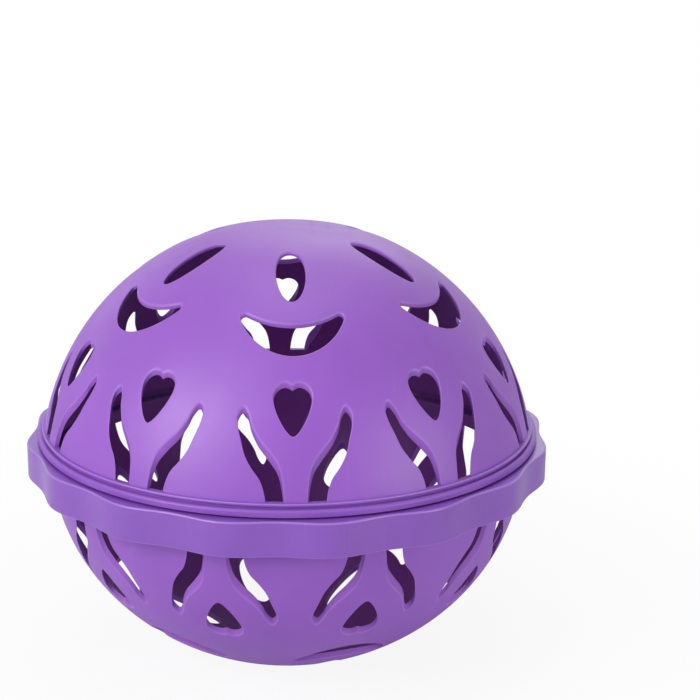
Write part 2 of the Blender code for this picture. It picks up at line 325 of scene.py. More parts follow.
def crescent_outline():
    """A wide arc away from the pole and a flatter one towards it, joined by two rounded horns."""
    belly, brow = (0.0, BELLY_CENTRE), (0.0, BROW_CENTRE)
    to_belly, to_brow = BELLY_RADIUS - HORN_RADIUS, BROW_RADIUS + HORN_RADIUS
    spacing = BELLY_CENTRE - BROW_CENTRE
    rise = (to_brow**2 - to_belly**2 - spacing**2) / (2.0 * spacing)
    horn = (math.sqrt(to_belly**2 - rise**2), belly[1] + rise)
    belly_end = math.degrees(math.atan2(rise, horn[0]))
    brow_end = math.degrees(math.atan2(horn[1] - brow[1], horn[0]))
    half = np.vstack(
        [
            arc(belly, BELLY_RADIUS, 90.0, belly_end, BELLY_STEPS),
            arc(horn, HORN_RADIUS, belly_end, brow_end - 180.0, HORN_STEPS)[1:],
            arc(brow, BROW_RADIUS, brow_end, 90.0, BROW_STEPS)[1:],
        ]
    )
    return mirrored(half)


def heart_outline():
    half = np.array(HEART)
    return spline(np.vstack([half, half[-2::-1] * (-1.0, 1.0)]))[:-1]


def spline(points, per_span=24):
    """Centripetal Catmull-Rom curve through the points."""
    p = np.vstack([2 * points[0] - points[1], points, 2 * points[-1] - points[-2]])
    out = []
    for i in range(1, len(p) - 2):
        p0, p1, p2, p3 = p[i - 1 : i + 3]
        t0 = 0.0
        t1 = t0 + math.sqrt(np.linalg.norm(p1 - p0))
        t2 = t1 + math.sqrt(np.linalg.norm(p2 - p1))
        t3 = t2 + math.sqrt(np.linalg.norm(p3 - p2))
        t = np.linspace(t1, t2, per_span + 1)[:-1, None]
        a1 = (t1 - t) / (t1 - t0) * p0 + (t - t0) / (t1 - t0) * p1
        a2 = (t2 - t) / (t2 - t1) * p1 + (t - t1) / (t2 - t1) * p2
        a3 = (t3 - t) / (t3 - t2) * p2 + (t - t2) / (t3 - t2) * p3
        b1 = (t2 - t) / (t2 - t0) * a1 + (t - t0) / (t2 - t0) * a2
        b2 = (t3 - t) / (t3 - t1) * a2 + (t - t1) / (t3 - t1) * a3
        out.append((t2 - t) / (t2 - t1) * b1 + (t - t1) / (t2 - t1) * b2)
    out.append(points[-1:])
    return np.vstack(out)


def resampled(points, step, closed):
    if closed:
        points = np.vstack([points, points[:1]])
    along = np.concatenate([[0.0], np.cumsum(np.linalg.norm(np.diff(points, axis=0), axis=1))])
    count = max(8, int(round(along[-1] / step)))
    at = np.linspace(0.0, along[-1], count + 1)
    if closed:
        at = at[:-1]
    return np.column_stack([np.interp(at, along, points[:, k]) for k in range(points.shape[1])])


def smoothed(points, width, step):
    """Rounds the corners of a closed outline whose points lie one step apart."""
    reach = int(3.0 * width / step) + 1
    weights = np.exp(-0.5 * (np.arange(-reach, reach + 1) * step / width) ** 2)
    weights /= weights.sum()
    return sum(w * np.roll(points, k - reach, axis=0) for k, w in enumerate(weights))


class Opening:
    """A plan outline with its outward normals. A notch is open at its two ends, which lie below the sill."""

    def __init__(self, plan, notch=False):
        x, y = plan[:, 0], plan[:, 1]
        if np.sum(x * np.roll(y, -1) - np.roll(x, -1) * y) < 0.0:
            plan = plan[::-1]
        self.plan = plan
        self.notch = notch
        ahead, behind = np.roll(plan, -1, axis=0), np.roll(plan, 1, axis=0)
        if notch:
            ahead[-1], behind[0] = plan[-1], plan[0]
        tangent = ahead - behind
        tangent /= np.linalg.norm(tangent, axis=1)[:, None]
        self.out = np.column_stack([tangent[:, 1], -tangent[:, 0]])
        self.room = self.fillet_room(tangent)

    def fillet_room(self, tangent):
        """How far each point can move into the material before its neighbours' paths cross."""
        after = np.roll(tangent, -1, axis=0)
        turn = tangent[:, 0] * after[:, 1] - tangent[:, 1] * after[:, 0]
        length = np.linalg.norm(np.roll(self.plan, -1, axis=0) - self.plan, axis=1)
        bend = -turn / np.maximum(length, 1e-6)
        if self.notch:
            bend[-2:] = 0.0
            bend[:2] = 0.0
        room = np.minimum(ROOM_IN_BEND / np.maximum(bend, 1e-3), WIDEST_ROOM)
        for _ in range(2):
            room = np.minimum(room, np.minimum(np.roll(room, 1), np.roll(room, -1)))
        for _ in range(3):
            room = (np.roll(room, 1) + room + np.roll(room, -1)) / 3.0
        return room


def turned(plan, azimuth):
    """An outline drawn as (sideways, outward) and turned to face the azimuth, which is 0 at -Y."""
    a = math.radians(azimuth)
    x, y = plan[:, 0], plan[:, 1]
    return np.column_stack([x * math.cos(a) + y * math.sin(a), x * math.sin(a) - y * math.cos(a)])


def closed_opening(outline, azimuth):
    fine = resampled(outline, FINE_STEP, True)
    fine = smoothed(fine, CORNER_SMOOTHING, FINE_STEP)
    return Opening(turned(resampled(fine, OUTLINE_STEP, True), azimuth))


def notch_opening(dome, shell, azimuth, side):
    """A slot, whose shape is drawn on the unrolled dome and then laid down in the plan."""
    drawn = np.array(SLOT)
    heights = shell["sill"] + shell["up"] * drawn[:, 1]
    radii = dome.radius_at(heights)
    unrolled = np.column_stack([np.radians(drawn[:, 0]) * radii, drawn[:, 1]])
    curve = resampled(spline(unrolled), OUTLINE_STEP, False)
    curve = curve[curve[:, 1] > -SILL_OVERLAP]
    curve[[0, -1], 1] = -SILL_OVERLAP
    radii = dome.radius_at(shell["sill"] + shell["up"] * curve[:, 1])
    angle = side * curve[:, 0] / radii
    plan = np.column_stack([radii * np.sin(angle), radii * np.cos(angle)])
    return Opening(turned(plan, azimuth), notch=True)


class MeshDraft:
    """Vertices with their normals, their edge marks for a lighter colour (wear, and partly a painted highlight)
    and their marks of painted shade, and faces.
    """

    def __init__(self):
        self.points, self.normals, self.faces = [], [], []
        self.marks = {"edge": [], "painted_shade": []}
        self.count = 0

    def add(self, points, normals, edge=0.0, painted_shade=0.0):
        first = self.count
        self.points.append(points)
        self.normals.append(normals)
        self.marks["edge"].append(np.broadcast_to(edge, len(points)))
        self.marks["painted_shade"].append(np.broadcast_to(painted_shade, len(points)))
        self.count += len(points)
        return np.arange(first, self.count)

    def strip(self, a, b, closed, flip):
        """Quads between two rings of equal length."""
        n = len(a)
        for i in range(n if closed else n - 1):
            j = (i + 1) % n
            quad = (a[i], a[j], b[j], b[i])
            self.faces.append(quad[::-1] if flip else quad)

    def build(self, name):
        """The mesh in metres, without faces and sides that rings which meet leave with no width."""
        points = np.vstack(self.points)
        normals = np.vstack(self.normals)
        points = (points + (0.0, 0.0, SEAM_ABOVE_FOOT)) * MM
        places = {}
        place = [places.setdefault(tuple(point), k) for k, point in enumerate(np.round(points, 8).tolist())]
        faces = []
        for face in self.faces:
            face = [int(k) for k in face]
            apart = [k for k, before in zip(face, face[-1:] + face[:-1]) if place[k] != place[before]]
            if len(apart) > 2:
                faces.append(apart)
        mesh = bpy.data.meshes.new(name)
        mesh.from_pydata(points.tolist(), [], faces)
        mesh.shade_smooth()
        for label, parts in self.marks.items():
            layer = mesh.attributes.new(label, "FLOAT", "POINT")
            layer.data.foreach_set("value", np.concatenate(parts).astype(np.float32))
        mesh.normals_split_custom_set_from_vertices(normals.tolist())
        obj = bpy.data.objects.new(name, mesh)
        bpy.context.scene.collection.objects.link(obj)
        return obj


def inside(points, polygon):
    """Which points lie within a closed polygon, by crossings."""
    found = np.zeros(len(points), bool)
    low, high = polygon.min(0), polygon.max(0)
    near = np.flatnonzero(((points >= low) & (points <= high)).all(1))
    a, b = polygon, np.roll(polygon, -1, axis=0)
    for chunk in np.array_split(near, max(1, len(near) // POINTS_AT_ONCE)):
        x, y = points[chunk, 0][:, None], points[chunk, 1][:, None]
        spans = (a[:, 1] > y) != (b[:, 1] > y)
        with np.errstate(divide="ignore", invalid="ignore"):
            at = a[:, 0] + (y - a[:, 1]) * (b[:, 0] - a[:, 0]) / (b[:, 1] - a[:, 1])
        found[chunk] = (np.sum(spans & (x < at), axis=1) % 2) == 1
    return found


def skin(draft, dome, rings, notches, floor_radius, rings_at, inward):
    """One surface of a pierced dome: triangles between the openings' rings and the floor circle.

    rings and notches are (vertex numbers, plan points), and notches run round each slot. The triangles are
    made on a chart of the dome, on a staggered grid with further rings at the radii in rings_at.
    """
    flip = inward != (dome.up < 0)
    facing = -1.0 if inward else 1.0
    # The inner surface gets the full painted shade: a darker colour standing in for the little light inside the
    # ball.
    painted_shade = 1.0 if inward else 0.0
    floor_angle = math.asin(min(1.0, floor_radius / dome.radius))
    notches = sorted(notches, key=lambda n: math.atan2(n[1][:, 0].mean(), -n[1][:, 1].mean()))
    numbers, chart, edges = [], [], []

    def take(vertex_numbers, plan):
        start = sum(len(c) for c in chart)
        numbers.append(vertex_numbers)
        chart.append(dome.chart(plan))
        return start, start + len(plan)

    holes = []
    for vertex_numbers, plan in rings:
        first, last = take(vertex_numbers, plan)
        loop = list(range(first, last))
        edges += list(zip(loop, loop[1:] + loop[:1]))
        holes.append(loop)
    border = []
    for k, (vertex_numbers, plan) in enumerate(notches):
        first, last = take(vertex_numbers[::-1], plan[::-1])
        border += range(first, last)
        here, there = plan[0], notches[(k + 1) % len(notches)][1][-1]
        start = math.atan2(here[0], -here[1])
        end = math.atan2(there[0], -there[1])
        while end <= start:
            end += math.tau
        count = max(2, int(round((end - start) * floor_radius / GRID_STEP * FLOOR_DENSITY)))
        azimuths = np.linspace(start, end, count + 1)[1:-1]
        ring = np.column_stack([floor_radius * np.sin(azimuths), -floor_radius * np.cos(azimuths)])
        heights = dome.height(np.full(len(ring), floor_radius))
        fresh = draft.add(np.column_stack([ring, heights]), dome.normal(ring) * facing, 0.0, painted_shade)
        first, last = take(fresh, ring)
        border += range(first, last)
    edges += list(zip(border, border[1:] + border[:1]))

    fixed = np.vstack(chart)
    tree = KDTree(len(fixed))
    for k, (u, v) in enumerate(fixed):
        tree.insert((u, v, 0.0), k)
    tree.balance()
    spacing = GRID_STEP / dome.radius
    columns = np.arange(-floor_angle, floor_angle, spacing)
    staggered = []
    for k, v in enumerate(np.arange(-floor_angle, floor_angle, spacing * math.sqrt(3.0) / 2.0)):
        staggered.append(np.column_stack([columns + (k % 2) * spacing / 2.0, np.full(len(columns), v)]))
    grid = np.vstack(staggered)
    grid = grid[np.hypot(grid[:, 0], grid[:, 1]) < floor_angle - 0.5 * spacing]
    angles = [math.asin(ring_radius / dome.radius) for ring_radius in rings_at]
    for angle in angles:
        grid = grid[np.abs(np.hypot(grid[:, 0], grid[:, 1]) - angle) > CLEAR_OF_EDGES * spacing]
    turn = np.linspace(0.0, math.tau, FOOT_RING_STEPS + 1)[:-1]
    grid = np.vstack([grid] + [np.column_stack([angle * np.cos(turn), angle * np.sin(turn)]) for angle in angles])
    for loop in holes:
        grid = grid[~inside(grid, fixed[loop])]
    rim_zone = np.hypot(grid[:, 0], grid[:, 1]) > RIM_ZONE
    keep = np.ones(len(grid), bool)
    keep[rim_zone] = inside(grid[rim_zone], fixed[border])
    grid = grid[keep]
    far = [tree.find((u, v, 0.0))[2] > CLEAR_OF_EDGES * spacing for u, v in grid]
    grid = grid[np.array(far)]
    plan = dome.unchart(grid)
    heights = dome.height(np.hypot(plan[:, 0], plan[:, 1]))
    fresh = draft.add(np.column_stack([plan, heights]), dome.normal(plan) * facing, 0.0, painted_shade)
    numbers.append(fresh)
    everything = np.vstack([fixed, grid])
    numbers = np.concatenate(numbers)

    _, _, faces, origin, _, _ = delaunay_2d_cdt([Vector(p) for p in everything], edges, [], 0, 1e-9, True)
    where = np.array([o[0] if o else -1 for o in origin])
    corners = where[np.array([f for f in faces if len(f) == 3])]
    corners = corners[(corners >= 0).all(1)]
    middles = everything[corners].mean(1)
    keep = np.ones(len(corners), bool)
    for loop in holes:
        keep &= ~inside(middles, fixed[loop])
    rim_zone = np.flatnonzero(np.hypot(middles[:, 0], middles[:, 1]) > RIM_ZONE)
    keep[rim_zone] &= inside(middles[rim_zone], fixed[border])
    triangles = numbers[corners[keep]]
    if flip:
        triangles = triangles[:, ::-1]
    draft.faces += [tuple(t) for t in triangles]


def edge_rings(draft, dome, opening, fillet, inward, floor, segments):
    """Rings of a rounded opening edge, from the surface to the wall.

    Gives each ring's vertex numbers, the first ring's plan, and which points lie past the floor.
    """
    plan, out = opening.plan, opening.out
    r = np.hypot(plan[:, 0], plan[:, 1])
    radial = np.sum(out * plan, axis=1) / np.maximum(r, 1e-9)
    slope = np.clip(np.abs(dome.slope(np.minimum(r, dome.radius * NEAR_EQUATOR)) * radial), 0.0, STEEPEST)
    fillet = np.minimum(fillet, opening.room)
    shift = fillet / np.sqrt(1.0 + slope**2)
    height = dome.height(r)
    down = dome.up if inward else -dome.up
    beyond = np.zeros(len(plan), bool)
    if opening.notch:
        beyond = (height - floor) * dome.up <= 1e-6
        if inward:
            beyond |= r > dome.radius_at(floor)
            height = np.where(beyond, floor, height)
            shift = np.where(beyond, 0.0, shift)
    start_plan = plan + out * shift[:, None]
    start = np.column_stack([start_plan, dome.height(np.hypot(start_plan[:, 0], start_plan[:, 1]))])
    corner = np.column_stack([plan, height])
    drop = np.where(beyond & inward, 0.0, fillet)
    end = corner + np.column_stack([np.zeros_like(plan), down * drop])
    start[beyond & inward] = corner[beyond & inward]
    face_normal = dome.normal(start_plan) * (-1.0 if inward else 1.0)
    wall_normal = np.column_stack([-out, np.zeros(len(plan))])
    if opening.notch:
        for k in (0, -1):
            for ring in (start, corner, end):
                ring[k, 2] = floor
    rings = []
    for k in range(segments + 1):
        t = k / segments
        points = (1 - t) ** 2 * start + 2 * t * (1 - t) * corner + t * t * end
        normals = (1 - t) * face_normal + t * wall_normal
        normals /= np.linalg.norm(normals, axis=1)[:, None]
        # Marks along the rounding: a lighter edge colour (wear, and partly a painted highlight), and painted
        # shade on the inner lip and wall.
        edge, painted_shade = (np.interp(t, EDGE_STEPS, marks) for marks in (INNER_EDGE if inward else OUTER_EDGE))
        rings.append(draft.add(points, normals, edge, painted_shade))
    return rings, start_plan, beyond


def inner_dome(shell, flat=None):
    """The inner face of a shell, whose wall may thicken from the rim to the pole."""
    cap = shell["cap"] and (shell["cap"][0] - shell["pole_wall"], shell["cap"][1])
    radius, rise = shell["radius"] - shell["wall"], shell["rise"] - shell["pole_wall"]
    return Dome(radius, rise, shell["centre"], shell["up"], cap, flat)


def pierced_dome(name, shell, flat=None):
    """A shell's dome with its wall and the rounded edges of all its openings."""
    up = shell["up"]
    outer = Dome(shell["radius"], shell["rise"], shell["centre"], up, shell["cap"], flat)
    inner_flat = None if flat is None else flat + shell["pole_wall"]
    inner = inner_dome(shell, inner_flat)
    openings = []
    fillets = [TREE_FILLET] * 3 * TREES + [shell["fillet"]] * 2 * CRESCENTS
    for k in range(TREES):
        azimuth = shell["turn"] + k * 360.0 / TREES
        openings.append(closed_opening(heart_outline() + (0.0, shell["heart_shift"]), azimuth + HEART_LEAN))
        for side in (-1.0, 1.0):
            openings.append(notch_opening(outer, shell, azimuth, side))
    for k in range(CRESCENTS):
        azimuth = shell["turn"] + k * 360.0 / CRESCENTS
        openings.append(closed_opening(crescent_outline() + (0.0, shell["crescent_shift"]), azimuth))
        openings.append(closed_opening(oval_outline(), azimuth))

    draft = MeshDraft()
    floor = shell["sill"] - up * SILL_OVERLAP
    flip = up < 0
    outer_rings, outer_notches, inner_rings, inner_notches = [], [], [], []
    for opening, fillet in zip(openings, fillets):
        rings, plan, _ = edge_rings(draft, outer, opening, fillet, False, floor, OUTER_SEGMENTS)
        back, back_plan, beyond = edge_rings(draft, inner, opening, INNER_FILLET, True, floor, INNER_SEGMENTS)
        closed = not opening.notch
        for a, b in zip(rings, rings[1:]):
            draft.strip(a, b, closed, flip)
        draft.strip(rings[-1], back[-1], closed, flip)
        for a, b in zip(back[::-1], back[::-1][1:]):
            draft.strip(a, b, closed, flip)
        if closed:
            outer_rings.append((rings[0], plan))
            inner_rings.append((back[0], back_plan))
        else:
            outer_notches.append((rings[0], plan))
            first = np.flatnonzero(~beyond)[0]
            last = np.flatnonzero(~beyond)[-1]
            inner_notches.append((back[0][first : last + 1], back_plan[first : last + 1]))
    rings_at = [] if flat is None else [outer.radius_at(flat) + step for step in (-FOOT_EDGE, 0.0, FOOT_EDGE)]
    skin(draft, outer, outer_rings, outer_notches, outer.radius_at(floor), rings_at, False)
    skin(draft, inner, inner_rings, inner_notches, inner.radius_at(floor), [], True)
    return draft.build(name)


def rounded_profile(corners):
    """Closed profile from (radius, height, rounding, wave, entry) corners, listed clockwise as seen in (r, z).

    Gives points, normals in the profile's plane, and each point's weights: wave, entry and how much lighter
    colour it gets, for wear and partly as a painted highlight.
    """
    points, normals, weights = [], [], []
    count = len(corners)
    for k, (r, z, rounding, wave, entry) in enumerate(corners):
        here = np.array([r, z])
        before = np.array(corners[k - 1][:2])
        after = np.array(corners[(k + 1) % count][:2])
        d0 = (here - before) / np.linalg.norm(here - before)
        d1 = (after - here) / np.linalg.norm(after - here)
        n0 = np.array([-d0[1], d0[0]])
        turn = math.atan2(d0[0] * d1[1] - d0[1] * d1[0], float(d0 @ d1))
        cut = rounding * math.tan(abs(turn) / 2.0)
        segments = 1 if rounding < SHARP else max(3, int(abs(turn) / FACET))
        start = here - d0 * cut
        side = math.copysign(1.0, turn)
        centre = start + side * n0 * rounding
        for step in range(segments + 1):
            a = turn * step / segments
            c, s = math.cos(a), math.sin(a)
            n = np.array([c * n0[0] - s * n0[1], s * n0[0] + c * n0[1]])
            points.append(centre - side * n * rounding if rounding > 0 else here)
            normals.append(n)
            worn = turn < 0 and 0 < step < segments and WEARS_OVER < rounding < WEARS_UNDER
            weights.append((wave, entry, WORN_AND_HIGHLIT_CORNER if worn else 0.0))
    return np.array(points), np.array(normals), np.array(weights)


def ring_body(name, corners, azimuths, shade, wave=None, entry=None):
    """A closed ring from a profile, whose radius may change round the axis.

    shade gives how much painted shade a face gets from the height of its normal, on top of the painted shade of
    faces that turn to the axis.
    """
    points, normals, weights = rounded_profile(corners)
    az = np.radians(azimuths)
    wave = np.zeros(len(az)) if wave is None else wave
    entry = np.zeros(len(az)) if entry is None else entry
    n_az, n_pt = len(az), len(points)
    r = points[:, 0][None, :] + wave[:, None] * weights[:, 0] + entry[:, None] * weights[:, 1]
    z = np.broadcast_to(points[:, 1][None, :], r.shape)
    xyz = np.stack([r * np.sin(az)[:, None], -r * np.cos(az)[:, None], z], axis=2)
    step = np.roll(az, -1) - np.roll(az, 1)
    step[step <= 0] += math.tau
    change = (np.roll(r, -1, axis=0) - np.roll(r, 1, axis=0)) / step[:, None]
    nr = np.broadcast_to(normals[:, 0][None, :], r.shape)
    nz = np.broadcast_to(normals[:, 1][None, :], r.shape)
    na = -nr * change / r
    radial = np.stack([np.sin(az), -np.cos(az), 0 * az], axis=1)[:, None, :]
    around = np.stack([np.cos(az), np.sin(az), 0 * az], axis=1)[:, None, :]
    n = nr[..., None] * radial + na[..., None] * around + nz[..., None] * np.array([0.0, 0.0, 1.0])
    n /= np.linalg.norm(n, axis=2)[..., None]
    draft = MeshDraft()
    # Faces that turn to the axis get painted shade, and painted-shade faces lose the lighter edge colour.
    painted_shade = np.clip(-(n * radial).sum(2) * PAINTED_SHADE_TO_AXIS, 0.0, 1.0)
    painted_shade = np.maximum(painted_shade, shade(n[..., 2]))
    edge = np.tile(weights[:, 2], n_az) * (1.0 - painted_shade.ravel())
    numbers = draft.add(xyz.reshape(-1, 3), n.reshape(-1, 3), edge, painted_shade.ravel()).reshape(n_az, n_pt)
    for i in range(n_az):
        draft.strip(numbers[i], numbers[(i + 1) % n_az], True, False)
    return draft.build(name)


def lock_azimuths():
    return [LOCK_AZIMUTH + 360.0 / LOCKS * k for k in range(LOCKS)]


def upper_rim():
    """Thin ridge at the dome's foot, groove, round bead, and the spigot that hangs into the collar."""
    sill = UPPER["sill"]
    corners = [
        (inner_dome(UPPER).radius_at(sill) - STEP_AT_JOIN, sill, 0.12, 0, 0),
        (RIDGE_RADIUS, sill, 0.42, 0, 0),
        (RIDGE_RADIUS, RIDGE_FOOT, 0.3, 0, 0),
        (GROOVE_RADIUS, RIDGE_FOOT, 0.15, 0, 0),
        (GROOVE_RADIUS, BEAD_TOP, 0.15, 0, 0),
        (BEAD_RADIUS, BEAD_TOP, 0.95, 0, 0),
        (BEAD_RADIUS, BEAD_FOOT, 0.28, 0, 0),
        (SPIGOT_RADIUS, BEAD_FOOT, 0.2, 0, 0),
        (SPIGOT_RADIUS, -SPIGOT_DEPTH, 0.35, 0, 0),
        (SPIGOT_RADIUS - SPIGOT_WALL, -SPIGOT_DEPTH, 0.35, 0, 0),
    ]
    azimuths = np.linspace(0.0, 360.0, RIM_STEPS + 1)[:-1]
    # Faces that turn downwards, such as the bead's underside over the gap, get painted shade.
    return ring_body("upper_rim", corners, azimuths, lambda up: np.clip(-PAINTED_SHADE_DOWNWARDS * up, 0.0, 1.0))


def grip_collar():
    """Wavy band round the lower shell's mouth, with the bore, the lock ledge and its entry notches inside."""
    outer = Dome(LOWER["radius"], LOWER["rise"], LOWER["centre"], LOWER["up"])
    inner = inner_dome(LOWER)
    sill = LOWER["sill"]
    reach = ENTRY_RADIUS - LEDGE_RADIUS
    corners = [
        (LEDGE_RADIUS, COLLAR_TOP, 0.25, 0, reach),
        (COLLAR_MEAN, COLLAR_TOP, 0.6, 1, 0),
        (COLLAR_MEAN, COLLAR_FOOT, 0.4, 1, 0),
        (outer.radius_at(COLLAR_FOOT) + STEP_AT_JOIN, COLLAR_FOOT, 0.5, 0, 0),
        (outer.radius_at(sill) + STEP_AT_JOIN, sill, 0.03, 0, 0),
        (inner.radius_at(sill) - STEP_AT_JOIN, sill, 0.03, 0, 0),
        (inner.radius_at(COLLAR_FLOOR), COLLAR_FLOOR, 0.5, 0, 0),
        (BORE_RADIUS, COLLAR_FLOOR, 0.4, 0, 0),
        (BORE_RADIUS, LEDGE_FOOT, 0.12, 0, 0),
        (LEDGE_RADIUS, LEDGE_FOOT, 0.2, 0, reach),
    ]
    middles = [wrapped(azimuth) for azimuth in lock_azimuths()]
    azimuths = list(np.linspace(-180.0, 180.0, COLLAR_LOBES * COLLAR_STEPS_PER_LOBE + 1)[:-1])
    for edge in [middle + side * ENTRY_WIDTH / 2.0 for middle in middles for side in (-1.0, 1.0)]:
        azimuths = [a for a in azimuths if abs(a - edge) > CLEAR_OF_CORNERS]
        azimuths += [edge + step for step in ENTRY_CORNERS]
    azimuths = np.array(sorted(azimuths))
    entry = np.zeros(len(azimuths))
    for middle in middles:
        entry[np.abs(wrapped(azimuths - middle)) < ENTRY_WIDTH / 2.0] = 1.0
    wave = -COLLAR_SWING * np.cos(COLLAR_LOBES * np.radians(azimuths - COLLAR_VALLEY_AZIMUTH))
    return ring_body("grip_collar", corners, azimuths, lambda up: 0.0 * up, wave, entry)


def sector_blocks(name, middles, width, inner, outer, foot, top, bevel):
    """Small curved blocks round the axis, with rounded edges."""
    points, faces = [], []
    for middle in middles:
        columns = np.radians(np.linspace(middle - width / 2.0, middle + width / 2.0, max(2, int(width)) + 1))
        first = len(points)
        for a in columns:
            for r, z in ((inner, foot), (outer, foot), (outer, top), (inner, top)):
                points.append((r * math.sin(a) * MM, -r * math.cos(a) * MM, (z + SEAM_ABOVE_FOOT) * MM))
        for k in range(len(columns) - 1):
            base = first + 4 * k
            for j in range(4):
                faces.append((base + j, base + (j + 1) % 4, base + 4 + (j + 1) % 4, base + 4 + j))
        last = first + 4 * (len(columns) - 1)
        faces.append((first + 3, first + 2, first + 1, first))
        faces.append((last, last + 1, last + 2, last + 3))
    mesh = bpy.data.meshes.new(name)
    mesh.from_pydata(points, [], faces)
    form = bmesh.new()
    form.from_mesh(mesh)
    bmesh.ops.recalc_face_normals(form, faces=form.faces)
    form.to_mesh(mesh)
    form.free()
    mesh.shade_smooth()
    obj = bpy.data.objects.new(name, mesh)
    bpy.context.scene.collection.objects.link(obj)
    soften = obj.modifiers.new("Soften", "BEVEL")
    soften.width = bevel * MM
    soften.segments = 3
    soften.limit_method = "ANGLE"
    soften.angle_limit = math.radians(40.0)
    soften.harden_normals = True
    return obj


def lock_lugs():
    root = SPIGOT_RADIUS - LUG_ROOT
    return sector_blocks("lock_lugs", lock_azimuths(), LUG_WIDTH, root, LUG_RADIUS, LUG_FOOT, LUG_TOP, LUG_BEVEL)


def turn_stops():
    """Stops in the bore that the lugs meet at the end of the lock's turn."""
    places = [azimuth - LUG_WIDTH / 2.0 - LOCK_TURN - STOP_WIDTH / 2.0 for azimuth in lock_azimuths()]
    size = (STOP_WIDTH, STOP_INNER, STOP_OUTER, STOP_FOOT, STOP_TOP, STOP_BEVEL)
    return sector_blocks("turn_stops", places, *size)


def node(tree, kind, **settings):
    """A shader node. Settings named in_ fill its inputs, and the others its own properties."""
    made = tree.nodes.new(kind)
    for key, value in settings.items():
        if key.startswith("in_"):
            made.inputs[key[3:].replace("_", " ")].default_value = value
        else:
            setattr(made, key, value)
    return made


def scuffs(tree, place):
    """Short fine scratches in two directions, gathered in worn patches. Gives their strength from 0 to 1."""
    link = tree.links.new
    lines = []
    for turn, stretch in (((0.4, 0.9, 0.3), (420.0, 26.0, 26.0)), ((1.3, 0.2, 1.9), (24.0, 380.0, 24.0))):
        mapping = node(tree, "ShaderNodeMapping", in_Rotation=turn, in_Scale=stretch)
        link(place, mapping.inputs["Vector"])
        streak = node(tree, "ShaderNodeTexNoise", in_Scale=1.0, in_Detail=1.0)
        link(mapping.outputs["Vector"], streak.inputs["Vector"])
        thin = node(tree, "ShaderNodeMapRange", in_From_Min=0.66, in_From_Max=0.74)
        link(streak.outputs["Fac"], thin.inputs["Value"])
        lines.append(thin.outputs["Result"])
    both = node(tree, "ShaderNodeMath", operation="MAXIMUM")
    link(lines[0], both.inputs[0])
    link(lines[1], both.inputs[1])
    patch = node(tree, "ShaderNodeTexNoise", in_Scale=22.0, in_Detail=2.0)
    link(place, patch.inputs["Vector"])
    worn = node(tree, "ShaderNodeMapRange", in_From_Min=0.45, in_From_Max=0.65)
    link(patch.outputs["Fac"], worn.inputs["Value"])
    strength = node(tree, "ShaderNodeMath", operation="MULTIPLY")
    link(both.outputs[0], strength.inputs[0])
    link(worn.outputs["Result"], strength.inputs[1])
    return strength.outputs[0]


